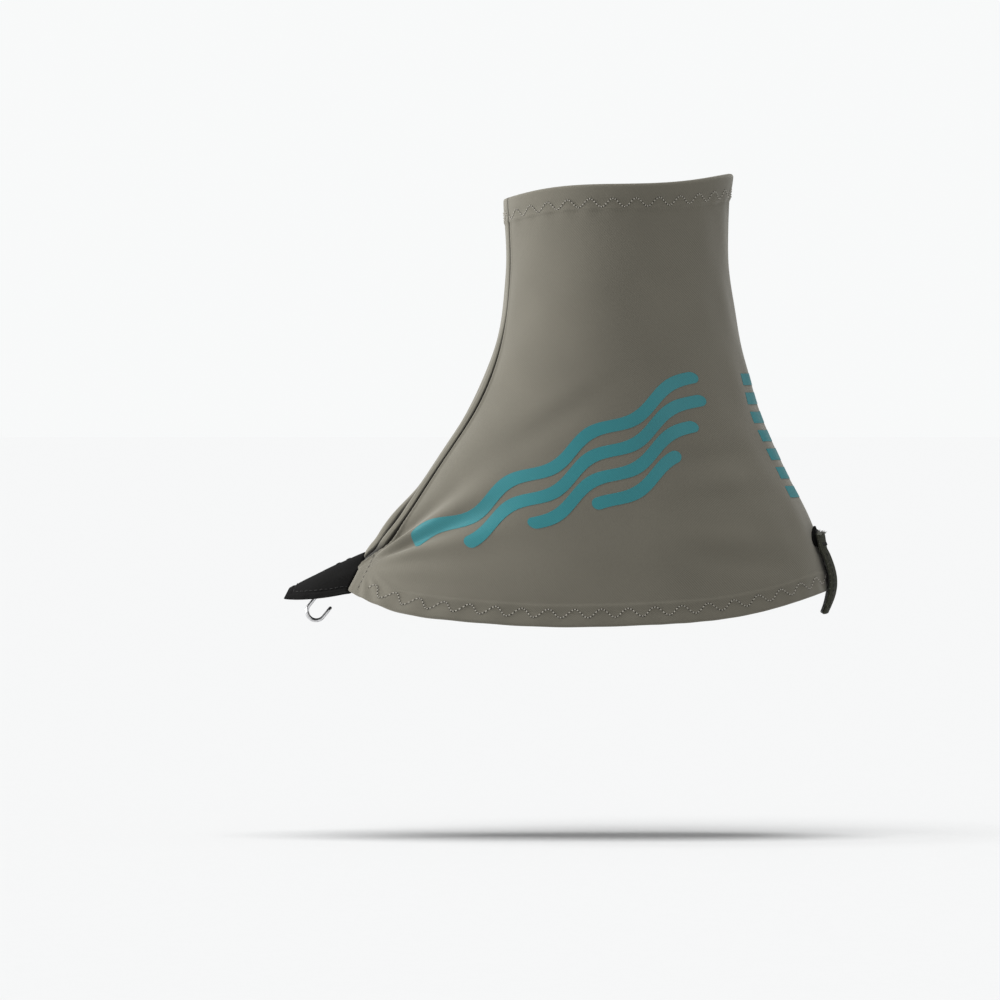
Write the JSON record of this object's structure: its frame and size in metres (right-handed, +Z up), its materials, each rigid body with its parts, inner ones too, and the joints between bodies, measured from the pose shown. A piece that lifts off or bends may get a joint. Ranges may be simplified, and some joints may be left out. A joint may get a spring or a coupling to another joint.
{
  "type": "gaiter",
  "caption": "Low stretch-cloth running gaiter: an ankle sleeve with hemmed ends, a front tab with a lace hook, and a hook-and-loop heel strap.",
  "frame": {"origin": "centre of the top opening, where the leg goes in", "axes": "+Z up along the leg, -X towards the toe, +X towards the heel, -Y the outer side with the print"},
  "size_m": [0.2252, 0.0962, 0.1833],
  "materials": {
    "sleeve_cloth": "matte stretch twill",
    "seam_thread": "matte thread",
    "hem_thread": "matte thread",
    "elastic": "woven elastic",
    "print_film": "matte printed film",
    "tab_cloth": "matte coated cloth",
    "webbing": "ribbed webbing",
    "black_thread": "matte thread",
    "hook_wire": "bright drawn wire",
    "strap_webbing": "brushed loop tape",
    "hook_tape": "hook tape"
  },
  "bodies": {
    "sleeve": {"sleeve_fabric": "sleeve_cloth", "front_seam_overlock": "seam_thread", "top_hem_elastic": "elastic", "top_hem_stitching": "hem_thread", "bottom_hem_elastic": "elastic", "bottom_hem_stitching": "hem_thread", "side_print": "print_film", "rear_print": "print_film", "front_tab_anchor": "tab_cloth", "front_tab_stitching": "seam_thread", "heel_strap_anchor": "strap_webbing", "heel_strap_bartack": "black_thread"},
    "tab": {"front_tab": "tab_cloth", "hook_webbing_loop": "webbing", "hook_loop_bartack": "black_thread"},
    "hook": {"lace_hook": "hook_wire"},
    "strap": {"heel_strap": "strap_webbing", "heel_hook_pad": "hook_tape", "heel_strap_stitching": "black_thread"}
  },
  "joints": [
    {"name": "front_tab_lift", "type": "hinge", "parent": "sleeve", "child": "tab", "pos_m": [-0.1019, 0, -0.1472], "axis": [0, 1, 0], "range_deg": [0, 70]},
    {"name": "lace_hook_swing", "type": "hinge", "parent": "tab", "child": "hook", "pos_m": [-0.11628, 0, -0.15867], "axis": [0, 1, 0], "range_deg": [-60, 20]},
    {"name": "heel_strap_peel", "type": "hinge", "parent": "sleeve", "child": "strap", "pos_m": [0.0834, 0, -0.1462], "axis": [0, -1, 0], "range_deg": [0, 100]}
  ]
}
